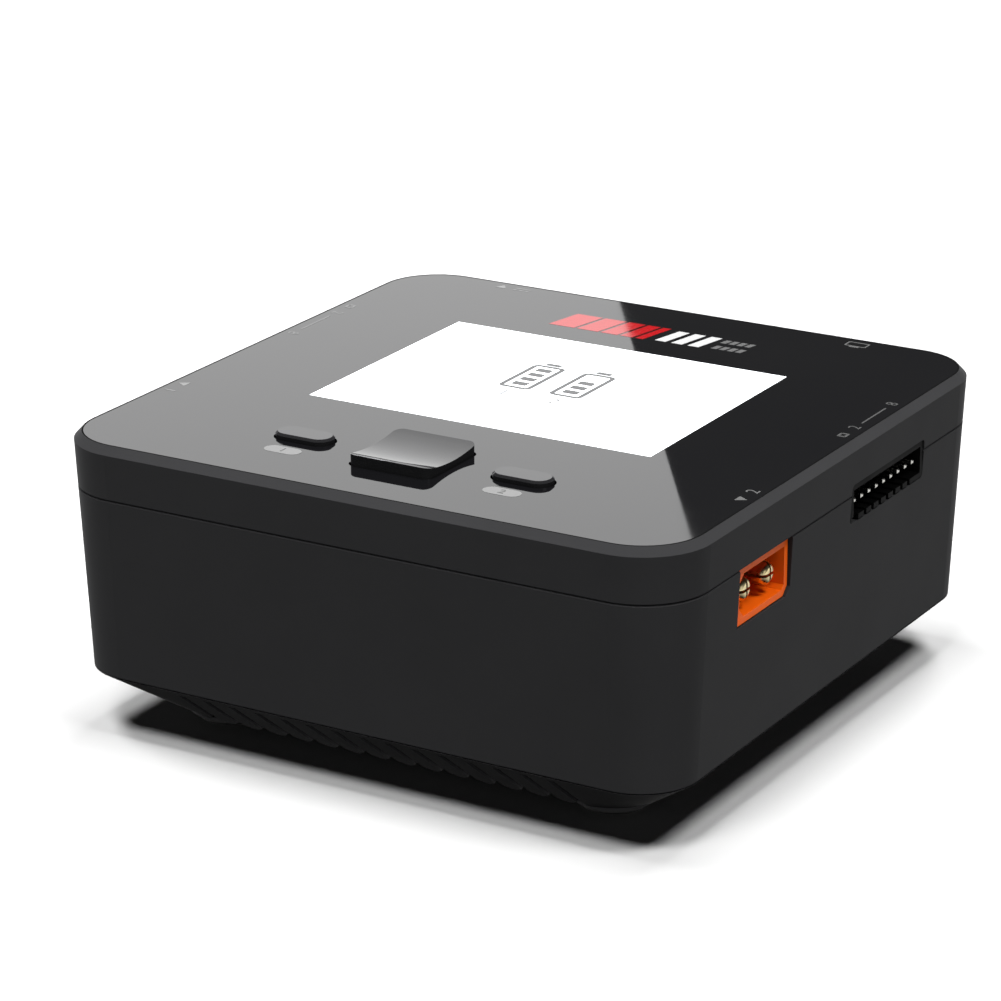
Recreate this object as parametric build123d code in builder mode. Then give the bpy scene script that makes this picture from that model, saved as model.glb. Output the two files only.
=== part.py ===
from build123d import *
import os
from math import cos, radians, sin, sqrt, tan

# Two-channel balance charger: a low square case that stands on four rubber feet.
# Millimetres. +Z is up, +X is the channel 2 side, -Y is the front with the keys.
# The origin is on the ground, under the middle of the case.

# ---- case ----
body_width = 104.2
body_depth = 103.2
corner_radius = 10.7
draft = 2.68
foot_proud = 1.2
base_drop = 8.4
base_inset = 10.8
base_corner_radius = 8.0
lower_wall_height = 28.4
cover_height = 8.3
wall = 2.0
rim_chamfer = 1.2
seam_chamfer = 0.22
lip_thickness = 0.9
lip_height = 1.2
lip_depth = 3.0
lip_gap = 0.1
lip_bite = 0.4
base_floor = 1.8
base_skin = 1.6
base_lip_height = 1.5
floor_lift = 0.5
shelf_thickness = 1.0

# ---- vents in the sloped base band ----
vent_count = 15
vent_pitch = 4.47
vent_width = 1.3
vent_strip = 1.3
vent_tip_radius = 1.1

# ---- front glass and display ----
glass_inset = 1.35
glass_gap = 0.1
glass_thickness = 1.0
plate_thickness = 1.3
display_y = 5.8
lcd_width = 66.0
lcd_depth = 46.5
lcd_thickness = 1.3
lcd_offset_x = 2.0
tray_wall = 0.8
tray_floor = 1.5
tray_gap = 0.15

# ---- keys ----
key_row_y = -33.55
side_key_x = 18.34
side_key_length = 9.5
side_key_width = 4.5
side_key_proud = 0.9
side_key_bevel = 0.35
round_end_trim = 0.01
key_gap = 0.28
rocker_size = 13.65
rocker_corner_radius = 1.4
rocker_proud = 1.65
rocker_dish = 0.75
rocker_skin = 1.3
flange_thickness = 0.8
flange_reach = 0.8
flange_gap = 0.1
switch_size = 4.5
switch_height = 1.2
switch_well = 0.95
switch_trim = 0.4
plunger_diameter = 1.8
plunger_gap = 0.35
pivot_diameter = 1.2
pivot_below_glass = 1.6
pivot_fit = 0.08
pivot_end_gap = 0.3
rocker_roof_gap = 0.4
rocker_switch_y = 5.5
carrier_size = 8.0
carrier_above_pivot = 0.9
carrier_lift = 0.35
wing_gap = 0.775
wing_thickness = 0.6
wing_tip = 1.6
carrier_corner = 0.6
tilt_gap = 0.35
ledge_thickness = 0.8
plunger_clear = 0.9

# ---- main board ----
board_thickness = 1.6
board_edge_gap = 0.7
board_below_glass = 6.75
foam_margin = 6.0
flex_width = 20.0
flex_thickness = 0.2
flex_slot = 0.8
flex_x = -21.0
flex_run = 9.0
flex_lift = 0.5
connector_width = 3.0
connector_end = 1.0
connector_height = 1.1
connector_edge = 0.2

# ---- power sockets ----
socket_y = -23.2
input_gap = 0.2
power_width = 15.8
power_height = 8.4
power_depth = 11.25
power_cavity_depth = 9.0
power_wall = 1.0
power_recess = 0.75
power_drop = 0.25
power_corner = 1.3
power_pin_diameter = 3.5
power_pin_spacing = 7.2
power_pin_recess = 0.5
power_pin_slit = 0.45
power_slit_depth = 5.0
power_pin_nose = 0.6
power_pin_tail = 1.5
power_foot_setback = 3.25
socket_gap = 0.2
window_radius = 0.8
window_overrun = 1.5

# ---- balance sockets ----
balance_y = 16.45
balance_pins = 9
balance_pitch = 2.5
balance_width = 24.5
balance_height = 5.7
balance_depth = 8.2
balance_wall = 0.8
balance_pin_size = 0.64
balance_pin_recess = 0.65
balance_pin_edge = 0.16
balance_floor = 1.6
balance_setback = 0.15
balance_slot = 0.9
balance_slot_depth = 3.0
balance_pin_tail = 1.2

# ---- data socket ----
usb_x = 31.3
usb_width = 7.6
usb_height = 2.7
usb_depth = 5.6
usb_skin = 0.3
usb_setback = 0.3
usb_tongue_recess = 0.8
usb_tongue_thickness = 0.7
usb_tongue_share = 0.55
usb_radius = 0.6

# ---- cooling ----
fan_size = 50.0
fan_height = 10.0
fan_bore = 47.0
fan_hole_spacing = 40.0
fan_hole = 4.3
fan_hub = 22.0
fan_tip_gap = 0.7
fan_blades = 7
fan_clearance = 0.6
grille_ring = 1.3
grille_rings = 3
grille_spokes = 4
fan_screw_head = 6.4
fan_screw_diameter = 3.6
fan_screw_sink = 0.5
fan_screw_head_height = 1.1
fan_screw_short = 1.0
screw_slot = 0.8
small_screw_slot = 0.6
sink_width = 59.0
sink_depth = 58.0
sink_plate = 3.0
sink_top_below_board = 3.05
fin_count = 13
fin_pitch = 4.0
fin_thickness = 1.2
sink_above_fan = 3.0
sink_screw_x = 27.2
sink_screw_y = 24.0
sink_screw_diameter = 2.5
sink_screw_head = 3.8
sink_screw_length = 5.4
sink_screw_head_height = 1.5
standoff_size = 4.6
mosfet_width = 6.0
mosfet_depth = 5.0
mosfet_height = 2.3
mosfet_pitch_x = 11.0
mosfet_pitch_y = 22.0
pad_margin = 1.0
inductor_size = 12.0
inductor_height = 9.0
inductor_corner = 1.5
can_edge = 0.6
capacitor_diameter = 10.0
capacitor_length = 18.0
capacitor_y = 40.0
capacitor_pitch = 12.5
buzzer_diameter = 9.5
buzzer_height = 6.0
buzzer_hole = 2.0
buzzer_hole_depth = 1.5
chip_size = 12.0
chip_height = 1.4
chip_edge = 0.3
small_part_width = 3.2
small_part_depth = 1.6
small_part_height = 0.9
small_part_pitch_x = 5.0
small_part_pitch_y = 3.0
fan_strut = 3.0
fan_base = 1.5
fan_corner = 2.5
bearing_floor = 0.5
hub_edge = 0.6
hub_fit = 0.4
bearing_tube_diameter = 7.0
bearing_diameter = 5.0
shaft_diameter = 2.0
shaft_fit = 0.08
stator_diameter = 16.4
stator_slot_depth = 3.2
stator_slot_width = 1.4
magnet_thickness = 0.9
hub_skin = 1.2
blade_chord = 8.4
blade_rise = 6.0
blade_camber = 1.1
blade_thickness = 0.9
blade_edge = 0.3
lead_diameter = 1.3
lead_pitch = 1.5
lead_x = 32.0
lead_y = -20.0
lead_bend = 3.0
fan_plug_height = 6.0
fan_plug_width = 4.0
fan_plug_depth = 6.0
fan_plug_corner = 0.4

# ---- fasteners ----
case_screw_x = 33.0
case_screw_y = 33.2
case_screw_diameter = 3.0
case_screw_length = 20.0
case_screw_head = 5.4
case_screw_head_height = 2.0
case_boss_diameter = 6.0
case_boss_split = 30.0
case_seat = 18.0
screw_gap = 0.2
drive_share = 0.6
board_screw_x = 41.0
board_screw_y = 40.5
board_screw_diameter = 2.0
board_screw_length = 3.8
board_screw_head = 3.8
board_screw_head_height = 1.4
board_boss_wall = 1.6
foot_diameter = 10.4
foot_sink = 0.8
foot_rim = 1.0
foot_edge = 0.5
column_diameter = 8.6

# ---- heights that follow ----
base_bottom = foot_proud
wall_bottom = base_bottom + base_drop
parting = wall_bottom + lower_wall_height
glass_top = parting + cover_height
glass_under = glass_top - glass_thickness
plate_under = glass_under - plate_thickness
board_under = glass_top - board_below_glass
board_top = board_under + board_thickness
floor_top = base_bottom + base_floor
pivot_height = glass_top - pivot_below_glass
flange_top = plate_under - flange_gap
flange_under = flange_top - flange_thickness
tray_under = glass_under - lcd_thickness - tray_floor
fan_under = floor_top
fan_top = fan_under + fan_height
rocker_under = flange_under
rocker_roof = pivot_height + carrier_above_pivot + rocker_roof_gap
carrier_under = flange_under - carrier_lift
carrier_wing = rocker_size / 2 + wing_gap + wing_tip
sink_top = board_under - sink_top_below_board
sink_under = sink_top - sink_plate
lcd_x = lcd_offset_x
slant = tan(radians(draft))
slope_length = sqrt(base_inset**2 + base_drop**2)


def outline_at(height, inset=0.0):
    """Width, depth and corner radius of the drafted wall at a height, moved in by inset."""
    step = (glass_top - height) * slant + inset
    return body_width - 2 * step, body_depth - 2 * step, corner_radius - step


def drafted_block(high, low, inset=0.0):
    """A block that follows the drafted walls between two heights."""
    width, depth, radius = outline_at(high, inset)
    with BuildPart() as block:
        with BuildSketch(Plane(origin=(0, 0, high), z_dir=(0, 0, -1))):
            RectangleRounded(width, depth, radius)
        extrude(amount=high - low, taper=draft)
    return block.part


def straight_block(width, depth, radius, low, high):
    """An upright rounded block about the middle of the case."""
    with BuildPart() as block:
        with BuildSketch(Plane.XY.offset(low)):
            RectangleRounded(width, depth, radius)
        extrude(amount=high - low)
    return block.part


def tub(skin=0.0):
    """The sloped base: from the wall's foot in and down, moved in square to the slope by skin."""
    inset = skin * slope_length / base_drop
    width, depth, radius = outline_at(wall_bottom, inset)
    low_width, low_depth, _ = outline_at(wall_bottom, inset + base_inset)
    with BuildPart() as block:
        with BuildSketch(Plane.XY.offset(wall_bottom)):
            RectangleRounded(width, depth, radius)
        with BuildSketch(Plane.XY.offset(base_bottom)):
            RectangleRounded(low_width, low_depth, base_corner_radius - inset)
        loft(ruled=True)
    return block.part


def wall_x(height):
    """Distance from the middle to the outer face of a side wall at a height."""
    return outline_at(height)[0] / 2


def wall_y(height):
    """Distance from the middle to the outer face of the front or back wall at a height."""
    return outline_at(height)[1] / 2


# The supply socket stands beside the screw in the board's back left corner.
input_x = board_screw_head / 2 + input_gap + power_width / 2 - board_screw_x

# Socket faces stand square: power sockets a little behind the wall, the others flush with it at the parting line.
power_mid = parting - power_drop - power_height / 2
balance_mid = board_under - balance_height / 2
usb_mid = board_under - usb_height / 2
power_face = wall_x(parting) - power_recess
balance_face = wall_x(parting)
back_face = wall_y(parting)
ch2_power_plane = Plane(origin=(power_face, socket_y, power_mid), x_dir=(0, 1, 0), z_dir=(1, 0, 0))
ch1_power_plane = Plane(origin=(-power_face, socket_y, power_mid), x_dir=(0, -1, 0), z_dir=(-1, 0, 0))
input_face = back_face - power_recess
input_plane = Plane(origin=(input_x, input_face, power_mid), x_dir=(-1, 0, 0), z_dir=(0, 1, 0))
ch2_balance_plane = Plane(origin=(balance_face, balance_y, balance_mid), x_dir=(0, 1, 0), z_dir=(1, 0, 0))
ch1_balance_plane = Plane(origin=(-balance_face, balance_y, balance_mid), x_dir=(0, -1, 0), z_dir=(-1, 0, 0))
usb_plane = Plane(origin=(usb_x, back_face, usb_mid), x_dir=(-1, 0, 0), z_dir=(0, 1, 0))


def wall_window(plane, width, height, radius):
    """The cut that lets a socket through the wall, lip included."""
    reach = wall + lip_gap + lip_thickness + window_overrun
    with BuildPart() as block:
        with BuildSketch(plane.offset(window_overrun)):
            RectangleRounded(width + 2 * socket_gap, height + 2 * socket_gap, radius)
        extrude(amount=-(reach + window_overrun))
    return block.part


def power_notch(plane):
    """The notch in the lower case that a power socket drops into, open at the parting line."""
    half_width = power_width / 2 + socket_gap
    low = -power_height / 2 - socket_gap
    high = power_height / 2 + power_drop + lip_height + 1
    with BuildPart() as block:
        with BuildSketch(plane.offset(power_recess + window_overrun)):
            with BuildLine():
                Polyline(
                    (-half_width, low),
                    (half_width - power_corner, low),
                    (half_width, low + power_corner),
                    (half_width, high),
                    (-half_width, high),
                    close=True,
                )
            make_face()
        extrude(amount=-(power_recess + wall + lip_gap + lip_thickness + 2 * window_overrun))
    return block.part


balance_windows = [
    wall_window(ch1_balance_plane, balance_width, balance_height, window_radius),
    wall_window(ch2_balance_plane, balance_width, balance_height, window_radius),
    wall_window(usb_plane, usb_width, usb_height, window_radius),
]
power_notches = [power_notch(plane) for plane in (ch1_power_plane, ch2_power_plane, input_plane)]


def save(builder, label):
    """Name a finished piece and write it."""
    builder.part.label = label
    export_step(builder.part, f"parts/{label}.step")


os.makedirs("parts", exist_ok=True)

# ---- top cover ----
glass_width = body_width - 2 * glass_inset
glass_depth = body_depth - 2 * glass_inset
glass_radius = corner_radius - glass_inset
pocket_block = straight_block(
    glass_width + 2 * glass_gap,
    glass_depth + 2 * glass_gap,
    glass_radius + glass_gap,
    glass_under,
    glass_top + 1,
)
tray_width = lcd_width + 2 * (tray_gap + tray_wall)
tray_depth = lcd_depth + 2 * (tray_gap + tray_wall)
side_hole_length = side_key_length + 2 * key_gap
side_hole_width = side_key_width + 2 * key_gap
rocker_hole = rocker_size + 2 * key_gap
rocker_hole_radius = rocker_corner_radius + key_gap
case_screws_at = [(x, y) for x in (-case_screw_x, case_screw_x) for y in (-case_screw_y, case_screw_y)]
board_screws_at = [(x, y) for x in (-board_screw_x, board_screw_x) for y in (-board_screw_y, board_screw_y)]
cover_outer = drafted_block(glass_top, parting)
cover_hollow = drafted_block(plate_under, parting - 1, wall)

with BuildPart() as top_cover:
    add(cover_outer)
    chamfer(top_cover.faces().sort_by(Axis.Z)[-1].edges(), rim_chamfer)
    chamfer(top_cover.faces().sort_by(Axis.Z)[0].edges(), seam_chamfer)
    add(cover_hollow, mode=Mode.SUBTRACT)
    add(pocket_block, mode=Mode.SUBTRACT)
    with BuildSketch(Plane.XY.offset(plate_under)):
        with Locations((lcd_x, display_y)):
            Rectangle(tray_width + 2 * tray_gap, tray_depth + 2 * tray_gap)
        with Locations((-side_key_x, key_row_y), (side_key_x, key_row_y)):
            RectangleRounded(side_hole_length, side_hole_width, side_hole_width / 2 - round_end_trim)
        with Locations((0, key_row_y)):
            RectangleRounded(rocker_hole, rocker_hole, rocker_hole_radius)
    extrude(amount=plate_thickness, mode=Mode.SUBTRACT)
    with BuildSketch(Plane.XY.offset(case_boss_split)):
        with Locations(case_screws_at):
            Circle(case_boss_diameter / 2)
    extrude(amount=plate_under - case_boss_split)
    with BuildSketch(Plane.XY.offset(board_top)):
        with Locations(board_screws_at):
            Circle(board_screw_diameter / 2 + board_boss_wall)
    extrude(amount=plate_under - board_top)
    with BuildSketch(Plane.XY.offset(case_boss_split)):
        with Locations(case_screws_at):
            Circle(case_screw_diameter / 2)
    extrude(amount=case_seat + case_screw_length - case_boss_split, mode=Mode.SUBTRACT)
    with BuildSketch(Plane.XY.offset(board_top)):
        with Locations(board_screws_at):
            Circle(board_screw_diameter / 2)
    extrude(amount=plate_under - board_top, mode=Mode.SUBTRACT)
    for window in balance_windows:
        add(window, mode=Mode.SUBTRACT)
save(top_cover, "top_cover")

# ---- glass front ----
with BuildPart() as glass_panel:
    with BuildSketch(Plane.XY.offset(glass_under)):
        RectangleRounded(glass_width, glass_depth, glass_radius)
        with Locations((-side_key_x, key_row_y), (side_key_x, key_row_y)):
            RectangleRounded(side_hole_length, side_hole_width, side_hole_width / 2 - round_end_trim, mode=Mode.SUBTRACT)
        with Locations((0, key_row_y)):
            RectangleRounded(rocker_hole, rocker_hole, rocker_hole_radius, mode=Mode.SUBTRACT)
    extrude(amount=glass_thickness)
save(glass_panel, "glass_panel")

# ---- lower case: the wall ring, with the lip that locates the cover ----
case_outer = drafted_block(parting, wall_bottom)
case_inner = drafted_block(parting + 1, wall_bottom - 1, wall)
lip_outer = drafted_block(parting + lip_height, parting - lip_depth, wall + lip_gap)
lip_root = drafted_block(parting, parting - lip_depth, wall - lip_bite)
lip_inner = drafted_block(parting + lip_height + 1, parting - lip_depth - 1, wall + lip_gap + lip_thickness)
foot_outer = drafted_block(wall_bottom + lip_depth, wall_bottom, wall - lip_bite)
foot_inner = drafted_block(wall_bottom + lip_depth + 1, wall_bottom - 1, wall + lip_thickness)

with BuildPart() as lower_case:
    add(case_outer)
    chamfer(lower_case.faces().sort_by(Axis.Z)[-1].edges(), seam_chamfer)
    chamfer(lower_case.faces().sort_by(Axis.Z)[0].edges(), seam_chamfer)
    add(case_inner, mode=Mode.SUBTRACT)
    add(lip_root - lip_inner)
    add(lip_outer - lip_inner)
    add(foot_outer - foot_inner)
    for window in balance_windows + power_notches:
        add(window, mode=Mode.SUBTRACT)
save(lower_case, "lower_case")

# ---- base pan: sloped vent band, floor, fan grille and screw columns ----
def vent_tools(side_distance, turn):
    """The vent slots of one side, cut square to the slope and open at its lower edge."""
    down = Vector(0, base_inset, -base_drop).normalized()
    inward = Vector(0, base_drop, base_inset).normalized()
    plane = Plane(origin=(0, -side_distance, wall_bottom), x_dir=(1, 0, 0), z_dir=inward)
    sign = 1 if plane.y_dir.dot(down) > 0 else -1
    start = sign * vent_strip
    end = sign * (slope_length + 2)
    tip = sign * (slope_length - vent_tip_radius)
    with BuildPart() as tool:
        with BuildSketch(plane.offset(-2)):
            for index in range(vent_count):
                x = (index - (vent_count - 1) / 2) * vent_pitch
                with Locations((x, (start + end) / 2)):
                    Rectangle(vent_width, slope_length + 2 - vent_strip)
                with BuildLine():
                    Polyline(
                        (x - vent_width / 2 - vent_tip_radius, sign * (slope_length + 2)),
                        (x - vent_width / 2 - vent_tip_radius, sign * slope_length),
                        (x - vent_width / 2, tip),
                        (x + vent_width / 2, tip),
                        (x + vent_width / 2 + vent_tip_radius, sign * slope_length),
                        (x + vent_width / 2 + vent_tip_radius, sign * (slope_length + 2)),
                        close=True,
                    )
                make_face()
        extrude(amount=2 + base_skin + 0.3)
    return tool.part.rotate(Axis.Z, turn)


base_half_x = outline_at(wall_bottom)[0] / 2
base_half_y = outline_at(wall_bottom)[1] / 2
vents = [
    vent_tools(base_half_y, 0),
    vent_tools(base_half_x, 90),
    vent_tools(base_half_y, 180),
    vent_tools(base_half_x, 270),
]
grille_radius = fan_bore / 2 - 0.5
grille_pitch = (grille_radius - fan_hub / 2) / grille_rings
fan_screws_at = [(x, y) for x in (-fan_hole_spacing / 2, fan_hole_spacing / 2)
                 for y in (-fan_hole_spacing / 2, fan_hole_spacing / 2)]
pan_outer = tub()
pan_inner = tub(base_skin)
pan_floor = straight_block(
    outline_at(wall_bottom, base_inset)[0],
    outline_at(wall_bottom, base_inset)[1],
    base_corner_radius,
    base_bottom + floor_lift,
    floor_top,
)
pan_hole_inset = wall + 2 * lip_thickness + lip_gap
pan_shelf = drafted_block(wall_bottom, wall_bottom - shelf_thickness, 0.0) & pan_outer
pan_lip = drafted_block(wall_bottom + base_lip_height, wall_bottom - shelf_thickness, wall + lip_thickness + lip_gap)
pan_hole = drafted_block(wall_bottom + base_lip_height + 1, wall_bottom - shelf_thickness - 1, pan_hole_inset)

with BuildPart() as base_pan:
    add(pan_outer)
    add(pan_inner, mode=Mode.SUBTRACT)
    add(pan_floor)
    for vent in vents:
        add(vent, mode=Mode.SUBTRACT)
    add(pan_shelf - pan_hole)
    add(pan_lip - pan_hole)
    # grille: rings and spokes under the fan
    with BuildSketch(Plane.XY.offset(base_bottom)):
        for ring in range(grille_rings):
            outer = grille_radius - ring * grille_pitch
            Circle(outer)
            Circle(outer - grille_pitch + grille_ring, mode=Mode.SUBTRACT)
        with PolarLocations(0, grille_spokes):
            Rectangle(2 * grille_radius + 2, grille_ring, mode=Mode.SUBTRACT)
    extrude(amount=base_floor, mode=Mode.SUBTRACT)
    # screw columns up to the cover's bosses
    with BuildSketch(Plane.XY.offset(floor_top)):
        with Locations(case_screws_at):
            Circle(column_diameter / 2)
    extrude(amount=case_boss_split - floor_top)
    with BuildSketch(Plane.XY.offset(base_bottom)):
        with Locations(case_screws_at):
            Circle(case_screw_head / 2 + screw_gap)
    extrude(amount=case_seat - base_bottom, mode=Mode.SUBTRACT)
    with BuildSketch(Plane.XY.offset(case_seat)):
        with Locations(case_screws_at):
            Circle(case_screw_diameter / 2 + screw_gap)
    extrude(amount=case_boss_split - case_seat, mode=Mode.SUBTRACT)
    # pads under the feet, and the recesses that hold them
    with BuildSketch(Plane.XY.offset(base_bottom)):
        with Locations(case_screws_at):
            Circle(foot_diameter / 2 + foot_rim)
    extrude(amount=floor_lift)
    with BuildSketch(Plane.XY.offset(base_bottom)):
        with Locations(case_screws_at):
            Circle(foot_diameter / 2 + lip_gap)
    extrude(amount=foot_sink, mode=Mode.SUBTRACT)
    with BuildSketch(Plane.XY.offset(base_bottom)):
        with Locations(case_screws_at):
            Circle(case_screw_head / 2 + screw_gap)
    extrude(amount=base_floor, mode=Mode.SUBTRACT)
    with BuildSketch(Plane.XY.offset(base_bottom)):
        with Locations(fan_screws_at):
            Circle(fan_screw_head / 2 + screw_gap)
    extrude(amount=floor_lift + fan_screw_sink, mode=Mode.SUBTRACT)
    with BuildSketch(Plane.XY.offset(base_bottom)):
        with Locations(fan_screws_at):
            Circle(fan_hole / 2)
    extrude(amount=base_floor, mode=Mode.SUBTRACT)
save(base_pan, "base_pan")

# ---- feet ----
with BuildPart() as feet:
    with BuildSketch():
        with Locations(case_screws_at):
            Circle(foot_diameter / 2)
    extrude(amount=foot_proud + foot_sink)
    chamfer(feet.faces().filter_by(Plane.XY).group_by(Axis.Z)[0].edges(), foot_edge)
save(feet, "feet")


def screws(places, seat, shank, length, head, head_height, slot):
    """A set of cross-slotted screws: heads under the seat, shanks pointing up."""
    with BuildPart() as part:
        with BuildSketch(Plane.XY.offset(seat)):
            with Locations(places):
                Circle(shank / 2)
        extrude(amount=length)
        with BuildSketch(Plane.XY.offset(seat)):
            with Locations(places):
                Circle(head / 2)
        extrude(amount=-head_height)
        with BuildSketch(Plane.XY.offset(seat - head_height)):
            with Locations(places):
                Rectangle(head * drive_share, slot)
                Rectangle(slot, head * drive_share)
        extrude(amount=head_height * drive_share, mode=Mode.SUBTRACT)
    return part


case_screws = screws(
    case_screws_at,
    case_seat,
    case_screw_diameter,
    case_screw_length,
    case_screw_head,
    case_screw_head_height,
    screw_slot,
)
save(case_screws, "case_screws")

# ---- display: cell, backlight tray, foam pad ----
with BuildPart() as lcd_panel:
    with BuildSketch(Plane.XY.offset(glass_under - lcd_thickness)):
        with Locations((lcd_x, display_y)):
            Rectangle(lcd_width, lcd_depth)
    extrude(amount=lcd_thickness)
save(lcd_panel, "lcd_panel")

with BuildPart() as lcd_tray:
    with BuildSketch(Plane.XY.offset(tray_under)):
        with Locations((lcd_x, display_y)):
            Rectangle(tray_width, tray_depth)
    extrude(amount=glass_under - tray_under)
    with BuildSketch(Plane.XY.offset(tray_under + tray_floor)):
        with Locations((lcd_x, display_y)):
            Rectangle(lcd_width + 2 * tray_gap, lcd_depth + 2 * tray_gap)
    extrude(amount=lcd_thickness, mode=Mode.SUBTRACT)
    with BuildSketch(Plane.XY.offset(tray_under)):
        with Locations((flex_x, display_y)):
            Rectangle(flex_slot, flex_width + flex_slot)
    extrude(amount=tray_floor, mode=Mode.SUBTRACT)
save(lcd_tray, "lcd_tray")

# ---- display ribbon and its connector ----
flex_height = board_top + flex_lift
with BuildPart() as lcd_flex:
    with BuildSketch(Plane.XZ.offset(-display_y - flex_width / 2)):
        with BuildLine():
            Polyline(
                (flex_x - flex_thickness / 2, glass_under - lcd_thickness),
                (flex_x - flex_thickness / 2, flex_height),
                (flex_x + flex_run, flex_height),
                (flex_x + flex_run, flex_height + flex_thickness),
                (flex_x + flex_thickness / 2, flex_height + flex_thickness),
                (flex_x + flex_thickness / 2, glass_under - lcd_thickness),
                close=True,
            )
        make_face()
    extrude(amount=flex_width)
save(lcd_flex, "lcd_flex")

with BuildPart() as lcd_connector:
    with BuildSketch(Plane.XY.offset(board_top)):
        with Locations((flex_x + flex_run + connector_width / 2, display_y)):
            Rectangle(connector_width, flex_width + 2 * connector_end)
    extrude(amount=connector_height)
    chamfer(lcd_connector.faces().sort_by(Axis.Z)[-1].edges(), connector_edge)
save(lcd_connector, "lcd_connector")

with BuildPart() as lcd_foam_pad:
    with BuildSketch(Plane.XY.offset(board_top)):
        with Locations((lcd_x, display_y)):
            Rectangle(tray_width - foam_margin, tray_depth - foam_margin)
            Rectangle(tray_width - 3 * foam_margin, tray_depth - 3 * foam_margin, mode=Mode.SUBTRACT)
    extrude(amount=tray_under - board_top)
save(lcd_foam_pad, "lcd_foam_pad")

# ---- main board, hung from the cover by four screws ----
board_width = outline_at(board_top, wall + board_edge_gap)[0]
board_depth = outline_at(board_top, wall + board_edge_gap)[1]
with BuildPart() as main_board:
    with BuildSketch(Plane.XY.offset(board_under)):
        RectangleRounded(board_width, board_depth, outline_at(board_top, wall + board_edge_gap)[2])
        with Locations(case_screws_at):
            Circle(case_boss_diameter / 2 + screw_gap, mode=Mode.SUBTRACT)
        with Locations(board_screws_at):
            Circle(board_screw_diameter / 2 + screw_gap, mode=Mode.SUBTRACT)
    extrude(amount=board_thickness)
save(main_board, "main_board")

board_screws = screws(
    board_screws_at,
    board_under,
    board_screw_diameter,
    board_screw_length,
    board_screw_head,
    board_screw_head_height,
    small_screw_slot,
)
save(board_screws, "board_screws")

# ---- tact switches, one under each side key and three under the rocker ----
rocker_switches_at = [(0, key_row_y), (0, key_row_y - rocker_switch_y), (0, key_row_y + rocker_switch_y)]
side_switches_at = [(-side_key_x, key_row_y), (side_key_x, key_row_y)]
with BuildPart() as tact_switches:
    with BuildSketch(Plane.XY.offset(board_top)):
        with Locations(rocker_switches_at + side_switches_at):
            Rectangle(switch_size, switch_size - switch_trim)
    extrude(amount=switch_height)
    with BuildSketch(Plane.XY.offset(board_top + switch_height)):
        with Locations(rocker_switches_at + side_switches_at):
            Circle(plunger_diameter / 2 + plunger_gap)
    extrude(amount=-switch_well, mode=Mode.SUBTRACT)
save(tact_switches, "tact_switches")


# ---- side keys ----
def side_key(x):
    """A pill-shaped key with a retaining flange under the cover plate."""
    top = glass_top + side_key_proud
    with BuildPart() as key:
        with BuildSketch(Plane.XY.offset(flange_under)):
            with Locations((x, key_row_y)):
                RectangleRounded(side_key_length, side_key_width, side_key_width / 2 - round_end_trim)
        extrude(amount=top - flange_under)
        chamfer(key.faces().sort_by(Axis.Z)[-1].edges(), side_key_bevel)
        with BuildSketch(Plane.XY.offset(flange_under)):
            with Locations((x, key_row_y)):
                RectangleRounded(
                    side_key_length + 2 * flange_reach,
                    side_key_width + 2 * flange_reach,
                    side_key_width / 2,
                )
        extrude(amount=flange_thickness)
    return key


def plunger(places, top):
    """The moving stems of the tact switches under one key."""
    with BuildPart() as stems:
        with BuildSketch(Plane.XY.offset(board_top + plunger_clear)):
            with Locations(places):
                Circle(plunger_diameter / 2)
        extrude(amount=top - board_top - plunger_clear)
    return stems


for label, x in (("ch1", -side_key_x), ("ch2", side_key_x)):
    save(side_key(x), f"{label}_button")
    save(plunger([(x, key_row_y)], flange_under), f"{label}_plunger")

# ---- rocker key on its press carrier ----
rocker_top = glass_top + rocker_proud
rocker_inner = rocker_size - 2 * rocker_skin
dish_radius = ((rocker_size / 2) ** 2 + rocker_dish**2) / (2 * rocker_dish)
ledge_width = (rocker_inner - carrier_size) / 2 - tilt_gap
ledge_y = (rocker_inner - ledge_width) / 2
wing_top = carrier_under + wing_thickness
with BuildPart() as rocker_key:
    with BuildSketch(Plane.XY.offset(rocker_under)):
        with Locations((0, key_row_y)):
            RectangleRounded(rocker_size, rocker_size, rocker_corner_radius)
    extrude(amount=rocker_top - rocker_under)
    # the finger dish runs from side to side
    with BuildSketch(Plane.YZ.offset(-rocker_size)):
        with Locations((key_row_y, rocker_top - rocker_dish + dish_radius)):
            Circle(dish_radius)
    extrude(amount=2 * rocker_size, mode=Mode.SUBTRACT)
    with BuildSketch(Plane.XY.offset(rocker_under)):
        with Locations((0, key_row_y)):
            Rectangle(rocker_inner, rocker_inner)
    extrude(amount=rocker_roof - rocker_under, mode=Mode.SUBTRACT)
    # ledges over the front and back switches
    with BuildSketch(Plane.XY.offset(rocker_under)):
        with Locations((0, key_row_y - ledge_y), (0, key_row_y + ledge_y)):
            Rectangle(rocker_inner, ledge_width)
    extrude(amount=ledge_thickness)
    # room for the carrier's wings under the side walls
    with BuildSketch(Plane.XY.offset(rocker_under)):
        with Locations((0, key_row_y)):
            Rectangle(rocker_size, carrier_size + 2 * tilt_gap)
    extrude(amount=wing_top + tilt_gap - rocker_under, mode=Mode.SUBTRACT)
    with BuildSketch(Plane.YZ.offset(-rocker_size / 2)):
        with Locations((key_row_y, pivot_height)):
            Circle(pivot_diameter / 2)
    extrude(amount=rocker_size, mode=Mode.SUBTRACT)
save(rocker_key, "rocker_key")
save(plunger(rocker_switches_at[1:], rocker_under), "rocker_plungers")

with BuildPart() as rocker_pivot:
    with BuildSketch(Plane.YZ.offset(-rocker_size / 2 + pivot_end_gap)):
        with Locations((key_row_y, pivot_height)):
            Circle(pivot_diameter / 2)
    extrude(amount=rocker_size - 2 * pivot_end_gap)
save(rocker_pivot, "rocker_pivot")

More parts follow.
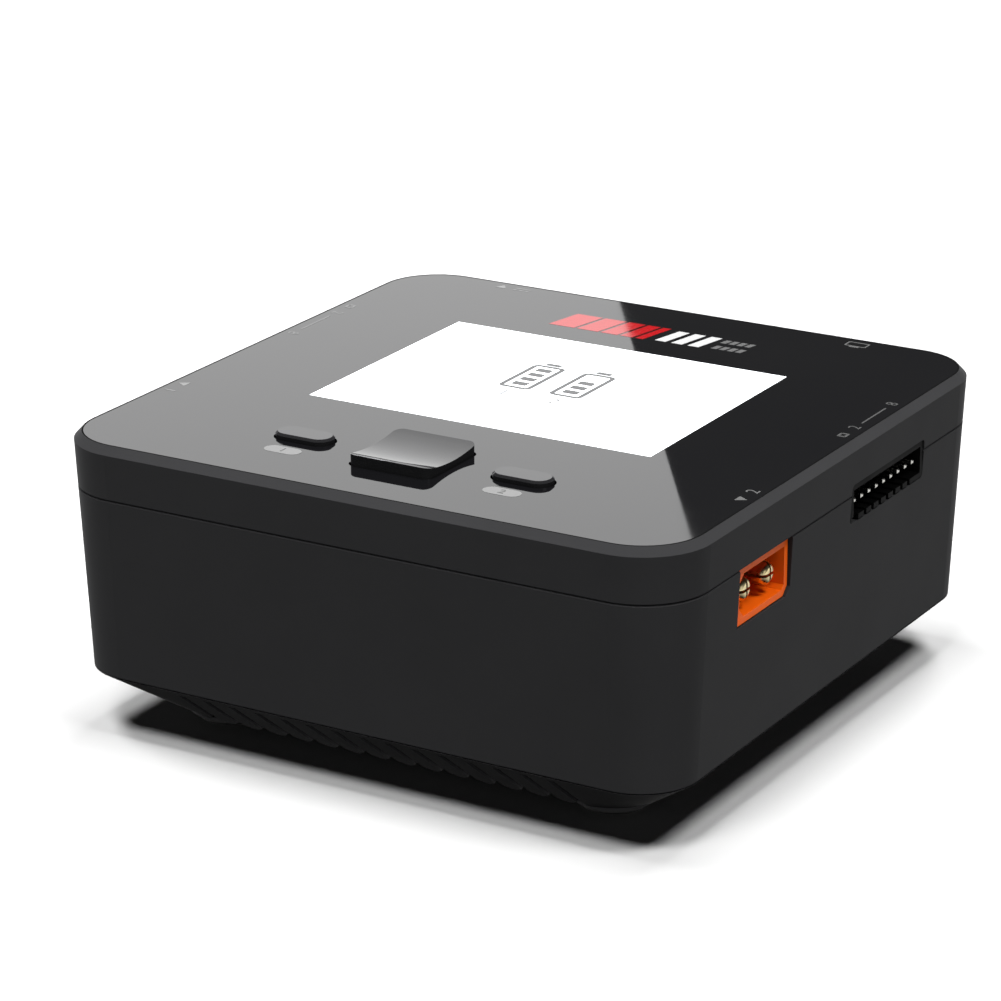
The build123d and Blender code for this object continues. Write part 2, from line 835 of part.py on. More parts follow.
with BuildPart() as rocker_carrier:
    with BuildSketch(Plane.XY.offset(carrier_under)):
        with Locations((0, key_row_y)):
            RectangleRounded(carrier_size, carrier_size, carrier_corner)
    extrude(amount=pivot_height + carrier_above_pivot - carrier_under)
    with BuildSketch(Plane.XY.offset(carrier_under)):
        with Locations((0, key_row_y)):
            RectangleRounded(2 * carrier_wing, carrier_size, carrier_corner)
    extrude(amount=wing_thickness)
    # wing tips that stop the carrier under the cover plate
    with BuildSketch(Plane.XY.offset(carrier_under)):
        with Locations((-carrier_wing + wing_tip / 2, key_row_y), (carrier_wing - wing_tip / 2, key_row_y)):
            RectangleRounded(wing_tip, carrier_size, carrier_corner)
    extrude(amount=flange_top - carrier_under)
    with BuildSketch(Plane.YZ.offset(-carrier_size)):
        with Locations((key_row_y, pivot_height)):
            Circle(pivot_diameter / 2 + pivot_fit)
    extrude(amount=2 * carrier_size, mode=Mode.SUBTRACT)
save(rocker_carrier, "rocker_carrier")
save(plunger(rocker_switches_at[:1], carrier_under), "press_plunger")


# ---- power sockets ----
def power_socket(plane):
    """A two-pin bullet socket: keyed shell with a recessed cavity and a foot up to the board."""
    half_width = power_width / 2
    half_height = power_height / 2
    with BuildPart() as shell:
        with BuildSketch(plane):
            with BuildLine():
                Polyline(
                    (-half_width, -half_height),
                    (half_width - power_corner, -half_height),
                    (half_width, -half_height + power_corner),
                    (half_width, half_height),
                    (-half_width, half_height),
                    close=True,
                )
            make_face()
        extrude(amount=-power_depth)
        with BuildSketch(plane):
            with BuildLine():
                Polyline(
                    (-half_width + power_wall + power_corner, -half_height + power_wall),
                    (half_width - power_wall - power_corner / 2, -half_height + power_wall),
                    (half_width - power_wall, -half_height + power_wall + power_corner / 2),
                    (half_width - power_wall, half_height - power_wall),
                    (-half_width + power_wall + power_corner, half_height - power_wall),
                    (-half_width + power_wall, half_height - power_wall - power_corner),
                    (-half_width + power_wall, -half_height + power_wall + power_corner),
                    close=True,
                )
            make_face()
        extrude(amount=-power_cavity_depth, mode=Mode.SUBTRACT)
        # foot behind the wall, up to the board
        with BuildSketch(plane.offset(-power_foot_setback)):
            with Locations((0, (half_height + board_under - power_mid) / 2)):
                Rectangle(power_width, board_under - power_mid - half_height)
        extrude(amount=-(power_depth - power_foot_setback))
        with BuildSketch(plane.offset(-power_depth)):
            with Locations((-power_pin_spacing / 2, 0), (power_pin_spacing / 2, 0)):
                Circle(power_pin_diameter / 2)
        extrude(amount=power_depth, mode=Mode.SUBTRACT)
    return shell


def power_pins(plane):
    """The two split bullet pins of a power socket."""
    length = power_depth + power_pin_tail - power_pin_recess
    with BuildPart() as pins:
        with BuildSketch(plane.offset(-power_pin_recess)):
            with Locations((-power_pin_spacing / 2, 0), (power_pin_spacing / 2, 0)):
                Circle(power_pin_diameter / 2)
        extrude(amount=-length)
        tips = pins.faces().filter_by(plane).sort_by(Axis(plane.origin, plane.z_dir))[-2:]
        fillet(tips.edges(), power_pin_diameter / 2 * power_pin_nose)
        with BuildSketch(plane):
            with Locations((-power_pin_spacing / 2, 0), (power_pin_spacing / 2, 0)):
                Rectangle(power_pin_slit, power_pin_diameter + 1)
                Rectangle(power_pin_diameter + 1, power_pin_slit)
        extrude(amount=-power_slit_depth, mode=Mode.SUBTRACT)
    return pins


for label, plane in (
    ("ch1_power", ch1_power_plane),
    ("ch2_power", ch2_power_plane),
    ("dc_input", input_plane),
):
    save(power_socket(plane), f"{label}_socket")
    save(power_pins(plane), f"{label}_pins")


# ---- balance sockets ----
balance_pins_x = [(index - (balance_pins - 1) / 2) * balance_pitch for index in range(balance_pins)]


def balance_socket(plane):
    """A shrouded pin header: open box with a row of slots in its lower wall."""
    with BuildPart() as shroud:
        with BuildSketch(plane.offset(-balance_setback)):
            Rectangle(balance_width, balance_height)
        extrude(amount=-(balance_depth - balance_setback))
        with BuildSketch(plane.offset(-balance_setback)):
            Rectangle(balance_width - 2 * balance_wall, balance_height - 2 * balance_wall)
        extrude(amount=-(balance_depth - balance_setback - balance_floor), mode=Mode.SUBTRACT)
        with BuildSketch(plane.offset(-balance_setback)):
            slot_y = -balance_height / 2 + balance_wall / 2
            with Locations([(x, slot_y) for x in balance_pins_x[1:-1]]):
                Rectangle(balance_slot, balance_wall)
            with Locations((balance_pins_x[0] - balance_slot, slot_y)):
                Rectangle(2.5 * balance_slot, balance_wall)
        extrude(amount=-balance_slot_depth, mode=Mode.SUBTRACT)
        with BuildSketch(plane.offset(-balance_depth)):
            with Locations([(x, 0) for x in balance_pins_x]):
                Rectangle(balance_pin_size, balance_pin_size)
        extrude(amount=balance_depth, mode=Mode.SUBTRACT)
    return shroud


def balance_pin_row(plane):
    """The row of square pins of a balance socket."""
    with BuildPart() as pins:
        with BuildSketch(plane.offset(-balance_pin_recess)):
            with Locations([(x, 0) for x in balance_pins_x]):
                Rectangle(balance_pin_size, balance_pin_size)
        extrude(amount=-(balance_depth + balance_pin_tail - balance_pin_recess))
        tips = pins.faces().filter_by(plane).sort_by(Axis(plane.origin, plane.z_dir))[-balance_pins:]
        chamfer(tips.edges(), balance_pin_edge)
    return pins


for label, plane in (("ch1_balance", ch1_balance_plane), ("ch2_balance", ch2_balance_plane)):
    save(balance_socket(plane), f"{label}_socket")
    save(balance_pin_row(plane), f"{label}_pins")

# ---- data socket ----
with BuildPart() as usb_shell:
    with BuildSketch(usb_plane.offset(-usb_setback)):
        RectangleRounded(usb_width, usb_height, usb_radius)
    extrude(amount=-usb_depth)
    with BuildSketch(usb_plane.offset(-usb_setback)):
        RectangleRounded(usb_width - 2 * usb_skin, usb_height - 2 * usb_skin, usb_radius - usb_skin)
    extrude(amount=-usb_depth + usb_skin, mode=Mode.SUBTRACT)
save(usb_shell, "usb_shell")

with BuildPart() as usb_tongue:
    with BuildSketch(usb_plane.offset(-usb_setback - usb_tongue_recess)):
        Rectangle(usb_width * usb_tongue_share, usb_tongue_thickness)
    extrude(amount=-(usb_depth - usb_tongue_recess - usb_skin))
save(usb_tongue, "usb_tongue")

# ---- heat sink, its pads and the power parts on the board's underside ----
sink_screws_at = [(x, y) for x in (-sink_screw_x, sink_screw_x) for y in (-sink_screw_y, sink_screw_y)]
with BuildPart() as heat_sink:
    with BuildSketch(Plane.XY.offset(sink_under)):
        Rectangle(sink_width, sink_depth)
    extrude(amount=sink_plate)
    with BuildSketch(Plane.XY.offset(sink_under)):
        with GridLocations(fin_pitch, 1, fin_count, 1):
            Rectangle(fin_thickness, sink_depth)
    extrude(amount=fan_top + sink_above_fan - sink_under)
    with BuildSketch(Plane.XY.offset(sink_under)):
        with Locations(sink_screws_at):
            Circle(sink_screw_diameter / 2 + screw_gap)
    extrude(amount=sink_plate, mode=Mode.SUBTRACT)
save(heat_sink, "heat_sink")

with BuildPart() as sink_standoffs:
    with BuildSketch(Plane.XY.offset(sink_top)):
        with Locations(sink_screws_at):
            RegularPolygon(standoff_size / 2, 6)
            Circle(sink_screw_diameter / 2, mode=Mode.SUBTRACT)
    extrude(amount=board_under - sink_top)
save(sink_standoffs, "sink_standoffs")

sink_screws = screws(
    sink_screws_at,
    sink_under,
    sink_screw_diameter,
    sink_screw_length,
    sink_screw_head,
    sink_screw_head_height,
    small_screw_slot,
)
save(sink_screws, "sink_screws")

with BuildPart() as mosfets:
    with BuildSketch(Plane.XY.offset(board_under)):
        with GridLocations(mosfet_pitch_x, mosfet_pitch_y, 4, 2):
            Rectangle(mosfet_width, mosfet_depth)
    extrude(amount=-mosfet_height)
save(mosfets, "mosfets")

with BuildPart() as thermal_pads:
    with BuildSketch(Plane.XY.offset(sink_top)):
        with GridLocations(mosfet_pitch_x, mosfet_pitch_y, 4, 2):
            Rectangle(mosfet_width + 2 * pad_margin, mosfet_depth + 2 * pad_margin)
    extrude(amount=board_under - mosfet_height - sink_top)
save(thermal_pads, "thermal_pads")

# Places of the parts on the board's underside, in the room that the heat sink leaves.
side_room = (board_width + sink_width) / 4
front_row_y = -(board_depth + sink_depth) / 4
buzzer_at = (-14.0, front_row_y - 2.1)
chip_at = (12.0, front_row_y - 2.1)
small_parts_at = (-4.0, front_row_y + 6.4)
inductors_at = [(side * (side_room + shift), y) for shift, y in ((-0.9, -5.5), (-3.2, 15.5)) for side in (-1, 1)]
with BuildPart() as inductors:
    with BuildSketch(Plane.XY.offset(board_under)):
        with Locations(inductors_at):
            RectangleRounded(inductor_size, inductor_size, inductor_corner)
    extrude(amount=-inductor_height)
    chamfer(inductors.faces().filter_by(Plane.XY).group_by(Axis.Z)[0].edges(), can_edge)
save(inductors, "inductors")

capacitors_at = [(-capacitor_pitch, capacitor_y), (0, capacitor_y), (capacitor_pitch, capacitor_y)]
with BuildPart() as capacitors:
    with BuildSketch(Plane.XY.offset(board_under)):
        with Locations(capacitors_at):
            Circle(capacitor_diameter / 2)
    extrude(amount=-capacitor_length)
    fillet(capacitors.faces().filter_by(Plane.XY).group_by(Axis.Z)[0].edges(), can_edge)
save(capacitors, "capacitors")

with BuildPart() as buzzer:
    with BuildSketch(Plane.XY.offset(board_under)):
        with Locations(buzzer_at):
            Circle(buzzer_diameter / 2)
    extrude(amount=-buzzer_height)
    with BuildSketch(Plane.XY.offset(board_under - buzzer_height)):
        with Locations(buzzer_at):
            Circle(buzzer_hole / 2)
    extrude(amount=buzzer_hole_depth, mode=Mode.SUBTRACT)
save(buzzer, "buzzer")

with BuildPart() as controller_chip:
    with BuildSketch(Plane.XY.offset(board_under)):
        with Locations(chip_at):
            Rectangle(chip_size, chip_size)
    extrude(amount=-chip_height)
    chamfer(controller_chip.faces().sort_by(Axis.Z)[0].edges(), chip_edge)
save(controller_chip, "controller_chip")

with BuildPart() as board_parts:
    with BuildSketch(Plane.XY.offset(board_under)):
        with Locations(small_parts_at):
            with GridLocations(small_part_pitch_x, small_part_pitch_y, 6, 2):
                Rectangle(small_part_width, small_part_depth)
    extrude(amount=-small_part_height)
save(board_parts, "board_parts")

# ---- fan: frame, bearing, stator, and the rotor that spins on its shaft ----
fan_base_top = fan_under + fan_base
rotor_top = fan_top - fan_clearance
rotor_under = fan_base_top + fan_clearance
with BuildPart() as fan_frame:
    with BuildSketch(Plane.XY.offset(fan_under)):
        RectangleRounded(fan_size, fan_size, fan_corner)
        Circle(fan_bore / 2, mode=Mode.SUBTRACT)
    extrude(amount=fan_height)
    with BuildSketch(Plane.XY.offset(fan_under)):
        Circle(fan_hub / 2)
        with PolarLocations(0, 2, start_angle=45, angular_range=180):
            Rectangle(fan_bore + 2, fan_strut)
    extrude(amount=fan_base)
    with BuildSketch(Plane.XY.offset(fan_base_top)):
        Circle(bearing_tube_diameter / 2)
    extrude(amount=rotor_top - hub_skin - fan_clearance - fan_base_top)
    with BuildSketch(Plane.XY.offset(fan_under + bearing_floor)):
        Circle(bearing_diameter / 2)
    extrude(amount=fan_height, mode=Mode.SUBTRACT)
    with BuildSketch(Plane.XY.offset(fan_under)):
        with Locations(fan_screws_at):
            Circle(fan_hole / 2)
    extrude(amount=fan_height, mode=Mode.SUBTRACT)
save(fan_frame, "fan_frame")

bearing_top = rotor_top - hub_skin - fan_clearance
with BuildPart() as fan_bearing:
    with BuildSketch(Plane.XY.offset(fan_base_top)):
        Circle(bearing_diameter / 2)
        Circle(shaft_diameter / 2 + shaft_fit, mode=Mode.SUBTRACT)
    extrude(amount=bearing_top - fan_base_top)
save(fan_bearing, "fan_bearing")

with BuildPart() as fan_stator:
    with BuildSketch(Plane.XY.offset(fan_base_top)):
        Circle(stator_diameter / 2)
        with PolarLocations(stator_diameter / 2, 4, start_angle=45):
            Rectangle(stator_slot_depth, stator_slot_width, mode=Mode.SUBTRACT)
        Circle(bearing_tube_diameter / 2, mode=Mode.SUBTRACT)
    extrude(amount=bearing_top - fan_base_top - hub_fit)
save(fan_stator, "fan_stator")

blade_inner = fan_hub / 2 - hub_fit
blade_outer = fan_bore / 2 - fan_tip_gap
blade_mid = (rotor_top + rotor_under) / 2
with BuildPart() as blade:
    with BuildSketch(Plane.YZ.offset(blade_inner)):
        with BuildLine():
            lower_arc = ThreePointArc(
                (-blade_chord / 2, blade_mid - blade_rise / 2),
                (blade_camber, blade_mid - blade_camber),
                (blade_chord / 2, blade_mid + blade_rise / 2),
            )
            upper_arc = ThreePointArc(
                (-blade_chord / 2, blade_mid - blade_rise / 2 + blade_thickness),
                (blade_camber / 2, blade_mid - blade_camber + blade_thickness),
                (blade_chord / 2, blade_mid + blade_rise / 2 + blade_edge),
            )
            Line(lower_arc @ 0, upper_arc @ 0)
            Line(lower_arc @ 1, upper_arc @ 1)
        make_face()
    extrude(amount=fan_bore / 2 - blade_inner)
    with BuildSketch(Plane.XY.offset(fan_under)):
        Circle(blade_outer)
    extrude(amount=fan_height, mode=Mode.INTERSECT)

magnet_radius = fan_hub / 2 - hub_skin
with BuildPart() as fan_rotor:
    with BuildSketch(Plane.XY.offset(rotor_under)):
        Circle(fan_hub / 2)
    extrude(amount=rotor_top - rotor_under)
    chamfer(fan_rotor.faces().sort_by(Axis.Z)[-1].edges(), hub_edge)
    with BuildSketch(Plane.XY.offset(rotor_under)):
        Circle(magnet_radius)
    extrude(amount=rotor_top - hub_skin - rotor_under, mode=Mode.SUBTRACT)
    with PolarLocations(0, fan_blades):
        add(blade.part)
    with BuildSketch(Plane.XY.offset(rotor_top - hub_skin)):
        Circle(shaft_diameter / 2)
    extrude(amount=hub_skin - hub_fit, mode=Mode.SUBTRACT)
save(fan_rotor, "fan_rotor")

with BuildPart() as fan_magnet:
    with BuildSketch(Plane.XY.offset(rotor_under)):
        Circle(magnet_radius)
        Circle(magnet_radius - magnet_thickness, mode=Mode.SUBTRACT)
    extrude(amount=rotor_top - hub_skin - blade_edge - rotor_under)
save(fan_magnet, "fan_magnet")

with BuildPart() as fan_shaft:
    with BuildSketch(Plane.XY.offset(fan_base_top)):
        Circle(shaft_diameter / 2)
    extrude(amount=rotor_top - hub_fit - fan_base_top)
save(fan_shaft, "fan_shaft")

fan_seat = base_bottom + floor_lift + fan_screw_sink
fan_screws = screws(
    fan_screws_at,
    fan_seat,
    fan_screw_diameter,
    fan_height - fan_screw_short,
    fan_screw_head,
    fan_screw_head_height,
    screw_slot,
)
save(fan_screws, "fan_screws")

# ---- fan lead up to its plug on the board ----
plug_under = board_under - fan_plug_height
lead_height = (fan_under + fan_top) / 2 + 1
with BuildPart() as fan_lead:
    for offset_y in (-lead_pitch / 2, lead_pitch / 2):
        with BuildLine(Plane.XZ.offset(-lead_y - offset_y)) as route:
            FilletPolyline(
                (fan_size / 2, lead_height),
                (lead_x, lead_height),
                (lead_x, plug_under),
                radius=lead_bend,
            )
        with BuildSketch(Plane(origin=route.line @ 0, z_dir=route.line % 0)):
            Circle(lead_diameter / 2)
        sweep(path=route.line)
save(fan_lead, "fan_lead")

with BuildPart() as fan_plug:
    with BuildSketch(Plane.XY.offset(plug_under)):
        with Locations((lead_x, lead_y)):
            Rectangle(fan_plug_width, fan_plug_depth)
    extrude(amount=fan_plug_height)
    chamfer(fan_plug.edges().filter_by(Axis.Z), fan_plug_corner)
save(fan_plug, "fan_plug")
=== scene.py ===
import math

import bpy
from mathutils import Matrix, Vector


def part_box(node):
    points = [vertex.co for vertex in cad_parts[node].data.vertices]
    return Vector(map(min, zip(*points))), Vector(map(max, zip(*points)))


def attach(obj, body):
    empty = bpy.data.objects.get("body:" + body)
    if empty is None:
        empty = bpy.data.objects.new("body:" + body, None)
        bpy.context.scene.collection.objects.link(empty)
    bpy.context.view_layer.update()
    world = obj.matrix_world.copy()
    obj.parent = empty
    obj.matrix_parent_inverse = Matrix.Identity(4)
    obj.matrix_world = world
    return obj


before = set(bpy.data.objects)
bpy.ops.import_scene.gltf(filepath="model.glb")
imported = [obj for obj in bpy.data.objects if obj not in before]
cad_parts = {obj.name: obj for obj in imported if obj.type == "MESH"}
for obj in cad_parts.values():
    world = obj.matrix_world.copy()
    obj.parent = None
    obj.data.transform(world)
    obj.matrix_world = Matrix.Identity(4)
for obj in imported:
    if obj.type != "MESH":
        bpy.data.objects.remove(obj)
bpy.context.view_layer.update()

# Looks of a two-channel balance charger: moulded case, glass front with a lit display,
# printed marks, keys, sockets and a vented base. Metres, in the same frame as the CAD.

MM = 0.001

GLASS_LOW, GLASS_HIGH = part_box("glass_panel")
GLASS_TOP = GLASS_HIGH.z
KEY_ROW_Y = sum(corner.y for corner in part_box("rocker_key")) / 2
SIDE_KEY_X = sum(corner.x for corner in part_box("ch2_button")) / 2
LCD_LOW, LCD_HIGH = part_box("lcd_panel")
POWER_LOW, POWER_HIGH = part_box("ch2_power_socket")
BALANCE_LOW, BALANCE_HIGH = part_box("ch2_balance_socket")
INPUT_LOW, INPUT_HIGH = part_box("dc_input_socket")
PORT_LOW, PORT_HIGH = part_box("usb_shell")

# Channel number, and the side of the case it is on: -1 left, 1 right.
CHANNELS = (("1", -1), ("2", 1))


# ---------------------------------------------------------------- materials

def linear(hex_colour):
    """An sRGB hex colour as linear RGBA."""
    channels = [int(hex_colour[i:i + 2], 16) / 255 for i in (0, 2, 4)]
    straight = [c / 12.92 if c <= 0.04045 else ((c + 0.055) / 1.055) ** 2.4 for c in channels]
    return (*straight, 1.0)


def add(tree, kind, inputs=None, **settings):
    """Adds a node with its settings, its input values and its links."""
    made = tree.nodes.new(kind)
    for name, value in settings.items():
        setattr(made, name, value)
    for name, value in (inputs or {}).items():
        if isinstance(value, bpy.types.NodeSocket):
            tree.links.new(value, made.inputs[name])
        else:
            made.inputs[name].default_value = value
    return made


def surface(name, **values):
    """A new material: its tree, its shader with these values, and Object coordinates."""
    material = bpy.data.materials.new(name)
    material.use_nodes = True
    tree = material.node_tree
    tree.nodes.clear()
    inputs = {key.replace("_", " "): value for key, value in values.items()}
    shader = add(tree, "ShaderNodeBsdfPrincipled", inputs)
    add(tree, "ShaderNodeOutputMaterial", {"Surface": shader.outputs[0]})
    place = add(tree, "ShaderNodeTexCoord").outputs["Object"]
    return material, tree, shader, place


def shade(tree, shader, place, dark, light, patch_mm, rough, grain_mm, grain_height_mm):
    """Uneven colour and roughness in patches, with a fine grain as bump."""
    patches = add(tree, "ShaderNodeTexNoise", {
        "Vector": place, "Scale": 1 / (patch_mm * MM), "Detail": 3.0, "Roughness": 0.55})
    tone = add(tree, "ShaderNodeMix", {
        "Factor": patches.outputs["Fac"], "A": linear(dark), "B": linear(light)}, data_type="RGBA")
    tree.links.new(tone.outputs["Result"], shader.inputs["Base Color"])
    sheen = add(tree, "ShaderNodeMapRange", {
        "Value": patches.outputs["Fac"], "From Min": 0.3, "From Max": 0.7,
        "To Min": rough[0], "To Max": rough[1]})
    tree.links.new(sheen.outputs["Result"], shader.inputs["Roughness"])
    grain = add(tree, "ShaderNodeTexNoise", {
        "Vector": place, "Scale": 1 / (grain_mm * MM), "Detail": 2.0, "Roughness": 0.6})
    bump = add(tree, "ShaderNodeBump", {
        "Height": grain.outputs["Fac"], "Strength": 1.0, "Distance": grain_height_mm * MM})
    tree.links.new(bump.outputs["Normal"], shader.inputs["Normal"])


def satin_abs(name, dark, light, rough=(0.42, 0.50), grain_height_mm=0.004, gloss=0.03):
    """ABS moulded in a fine spark-eroded tool: an even, dark satin with soft broad highlights.
    The real grain is about 0.05 mm and is drawn at 0.35 mm so that it shows."""
    material, tree, shader, place = surface(name, IOR=1.50, Specular_IOR_Level=gloss)
    shade(tree, shader, place, dark, light, patch_mm=14.0, rough=rough,
          grain_mm=0.35, grain_height_mm=grain_height_mm)
    return material


def printed_glass():
    """Soda-lime glass printed black on its back: a deep, hard gloss with faint wipe marks."""
    material, tree, shader, place = surface("black_printed_glass", IOR=1.52)
    shade(tree, shader, place, "08080a", "0c0c0d", patch_mm=30.0, rough=(0.015, 0.035),
          grain_mm=9.0, grain_height_mm=0.0006)
    return material


def gloss_abs():
    """Polished ABS keys: as bright as the glass beside them, with a little orange peel."""
    material, tree, shader, place = surface("polished_abs", IOR=1.52)
    shade(tree, shader, place, "1a1a1b", "202021", patch_mm=5.0, rough=(0.03, 0.06),
          grain_mm=1.6, grain_height_mm=0.0005)
    return material


def moulded(name, dark, light, rough=(0.35, 0.5), grain_mm=0.4, grain_height_mm=0.006, gloss=0.5):
    """Nylon, epoxy or bonded powder from a plain tool: slightly uneven colour, a waxy shine."""
    material, tree, shader, place = surface(name, IOR=1.53, Specular_IOR_Level=gloss)
    shade(tree, shader, place, dark, light, patch_mm=3.0, rough=rough,
          grain_mm=grain_mm, grain_height_mm=grain_height_mm)
    return material


def plated(name, dark, light, rough, grain_mm=0.5):
    """A thin plated metal skin: bright, with small changes of tone where it has rubbed."""
    material, tree, shader, place = surface(name, Metallic=1.0)
    shade(tree, shader, place, dark, light, patch_mm=1.5, rough=rough,
          grain_mm=grain_mm, grain_height_mm=0.002)
    return material


def brushed(name, dark, light, rough, stretch=(1.0, 12.0, 1.0)):
    """Rolled or drawn metal: fine lines 0.2 mm apart, drawn out twelve times along their way."""
    material, tree, shader, place = surface(name, Metallic=1.0)
    lines = add(tree, "ShaderNodeMapping", {"Vector": place, "Scale": stretch}).outputs["Vector"]
    shade(tree, shader, lines, dark, light, patch_mm=2.4, rough=rough,
          grain_mm=0.2 * 12, grain_height_mm=0.004)
    return material


def soft_rubber(name, dark, light, grain_mm=0.3):
    """Moulded rubber: matte, dusty and slightly rough."""
    material, tree, shader, place = surface(name, IOR=1.50, Specular_IOR_Level=0.35)
    shade(tree, shader, place, dark, light, patch_mm=4.0, rough=(0.65, 0.85),
          grain_mm=grain_mm, grain_height_mm=0.015)
    return material


def lit_screen():
    """The lit display behind the glass: cool white, in cells of 0.36 mm."""
    material, tree, shader, place = surface(
        "lit_display", IOR=1.52, Roughness=0.08, Base_Color=linear("d8dce0"),
        Emission_Strength=0.9)
    cells = add(tree, "ShaderNodeTexChecker", {
        "Vector": place, "Scale": 1 / (0.36 * MM),
        "Color1": linear("fdfeff"), "Color2": linear("f8fafc")})
    tree.links.new(cells.outputs["Color"], shader.inputs["Emission Color"])
    return material


def ink(name, dark, light):
    """Screen-printed ink under the glass: flat colour, faintly mottled, with the glass's gloss."""
    material, tree, shader, place = surface(name, IOR=1.52)
    shade(tree, shader, place, dark, light, patch_mm=0.8, rough=(0.03, 0.06),
          grain_mm=0.25, grain_height_mm=0.0004)
    return material


def circuit_board():
    """Green solder mask over copper tracks: a 2.5 mm grid of tracks shows as raised lines."""
    material, tree, shader, place = surface("solder_masked_board", IOR=1.5)
    tracks = add(tree, "ShaderNodeTexBrick", {
        "Vector": place, "Scale": 1 / (5.0 * MM), "Mortar Size": 0.05, "Mortar Smooth": 0.4,
        "Color1": linear("0e3a22"), "Color2": linear("0b3320"), "Mortar": linear("1c5a35")})
    tree.links.new(tracks.outputs["Color"], shader.inputs["Base Color"])
    bump = add(tree, "ShaderNodeBump", {
        "Height": tracks.outputs["Fac"], "Strength": 0.6, "Distance": 0.03 * MM})
    tree.links.new(bump.outputs["Normal"], shader.inputs["Normal"])
    shader.inputs["Roughness"].default_value = 0.3
    return material


# The case is dark grey rather than black, and hardly shines. The base has a coarser tool.
case_abs = satin_abs("satin_black_abs", "2b2b2c", "303031")
base_abs = satin_abs("base_black_abs", "2b2b2c", "303031", (0.45, 0.55), 0.006)
front_glass = printed_glass()
key_abs = gloss_abs()

# Socket bodies: a strong orange with a dull shine, and a black that shows no shine at all.
orange_nylon = moulded("orange_nylon", "e6590a", "ee6510", (0.40, 0.52), gloss=0.12)
black_nylon = satin_abs("black_nylon", "040404", "070707", (0.55, 0.65), gloss=0.08)
white_nylon = moulded("natural_nylon", "d8d2c0", "e6e1d2")
grey_nylon = moulded("grey_nylon", "2a2a2b", "333334")
fan_pbt = moulded("fan_black_pbt", "0d0d0e", "141415", (0.4, 0.55), 0.5, 0.01)
epoxy = moulded("black_epoxy", "161618", "1e1e20", (0.5, 0.65), 0.2)

# Plated skins: warm and pale on the power pins, white on the balance pins, grey on the screws.
gold_plate = plated("gold_plated_brass", "d8c48e", "f0e2b6", (0.24, 0.34))
tin_plate = plated("tin_plated_brass", "c9c8c2", "e6e5df", (0.18, 0.30), 0.3)
zinc_plate = plated("zinc_plated_steel", "8b8d90", "a5a7aa", (0.25, 0.4))
sintered_bronze = plated("sintered_bronze", "7a5530", "95693d", (0.4, 0.55), 0.15)

# Drawn, rolled and turned metals: the lines follow the way each was worked.
sheet_steel = brushed("rolled_sheet_steel", "a9abad", "bfc1c3", (0.25, 0.38))
ground_steel = brushed("ground_steel", "b5b6b8", "cfd0d2", (0.12, 0.22), (12.0, 1.0, 1.0))
milled_aluminium = brushed("extruded_aluminium", "b8babd", "cdcfd2", (0.28, 0.42))
turned_brass = brushed("turned_brass", "b8924a", "d0aa60", (0.2, 0.32), (1.0, 1.0, 12.0))
copper_winding = brushed("enamelled_copper", "8c4a22", "b0622f", (0.25, 0.4), (1.0, 1.0, 9.0))

# Dull magnet powder, a glassy amber film and a shrunk sleeve on the capacitors.
ferrite = moulded("bonded_ferrite", "19191b", "222224", (0.55, 0.7), 0.15, 0.01)
film = moulded("polyimide_film", "a8621a", "bd7423", (0.2, 0.3), 0.6, 0.002)
can_sleeve = moulded("sleeved_can", "20242e", "2b303c", (0.2, 0.35), 0.8, 0.002)

# Rubbers and foams: no shine, and a visible tooth.
foot_rubber = soft_rubber("black_rubber", "131313", "1b1b1b")
foam = soft_rubber("closed_cell_foam", "1c1c1e", "2a2a2c", 0.5)
# The black of the ring round the glass is painted shade of the gap there, with a foam's dull
# finish.
gap_shade_black = satin_abs("painted_gap_shade_black", "080808", "0c0c0c", (0.8, 0.9), gloss=0.05)
silicone = soft_rubber("thermal_silicone", "5f7f9c", "7391ad", 0.6)
wire_sleeve = soft_rubber("red_wire_sleeve", "8a1512", "a01c17", 0.8)

# The board, the display, and the inks from palest to darkest.
board = circuit_board()
screen = lit_screen()
bright_ink = ink("white_ink", "a2a2a2", "aeaeae")
pale_ink = ink("pale_grey_ink", "505050", "585858")
dim_ink = ink("dim_grey_ink", "424242", "4a4a4a")
screen_faint = ink("display_pale_grey", "3c3e40", "444648")
screen_ink = ink("display_grey", "1c1e20", "222426")
deep_ink = ink("black_ink", "121212", "181818")
red_ink = ink("red_ink", "82080c", "900a10")

FINISHES = {
    case_abs: ["top_cover", "lower_case"],
    base_abs: ["base_pan"],
    front_glass: ["glass_panel"],
    key_abs: ["ch1_button", "ch2_button", "rocker_key"],
    orange_nylon: ["ch1_power_socket", "ch2_power_socket", "dc_input_socket"],
    black_nylon: ["ch1_balance_socket", "ch2_balance_socket", "usb_tongue"],
    white_nylon: ["lcd_connector", "fan_plug"],
    grey_nylon: [
        "ch1_plunger", "ch2_plunger", "rocker_plungers", "press_plunger",
        "rocker_carrier", "tact_switches"],
    fan_pbt: ["fan_frame", "fan_rotor"],
    epoxy: ["mosfets", "controller_chip", "buzzer", "board_parts", "inductors"],
    gold_plate: ["ch1_power_pins", "ch2_power_pins", "dc_input_pins"],
    tin_plate: ["ch1_balance_pins", "ch2_balance_pins"],
    zinc_plate: ["case_screws", "board_screws", "sink_screws", "fan_screws"],
    sheet_steel: ["lcd_tray", "usb_shell"],
    ground_steel: ["fan_shaft", "rocker_pivot"],
    milled_aluminium: ["heat_sink"],
    turned_brass: ["sink_standoffs"],
    sintered_bronze: ["fan_bearing"],
    copper_winding: ["fan_stator"],
    ferrite: ["fan_magnet"],
    foot_rubber: ["feet"],
    foam: ["lcd_foam_pad"],
    silicone: ["thermal_pads"],
    wire_sleeve: ["fan_lead"],
    film: ["lcd_flex"],
    can_sleeve: ["capacitors"],
    board: ["main_board"],
    screen: ["lcd_panel"],
}


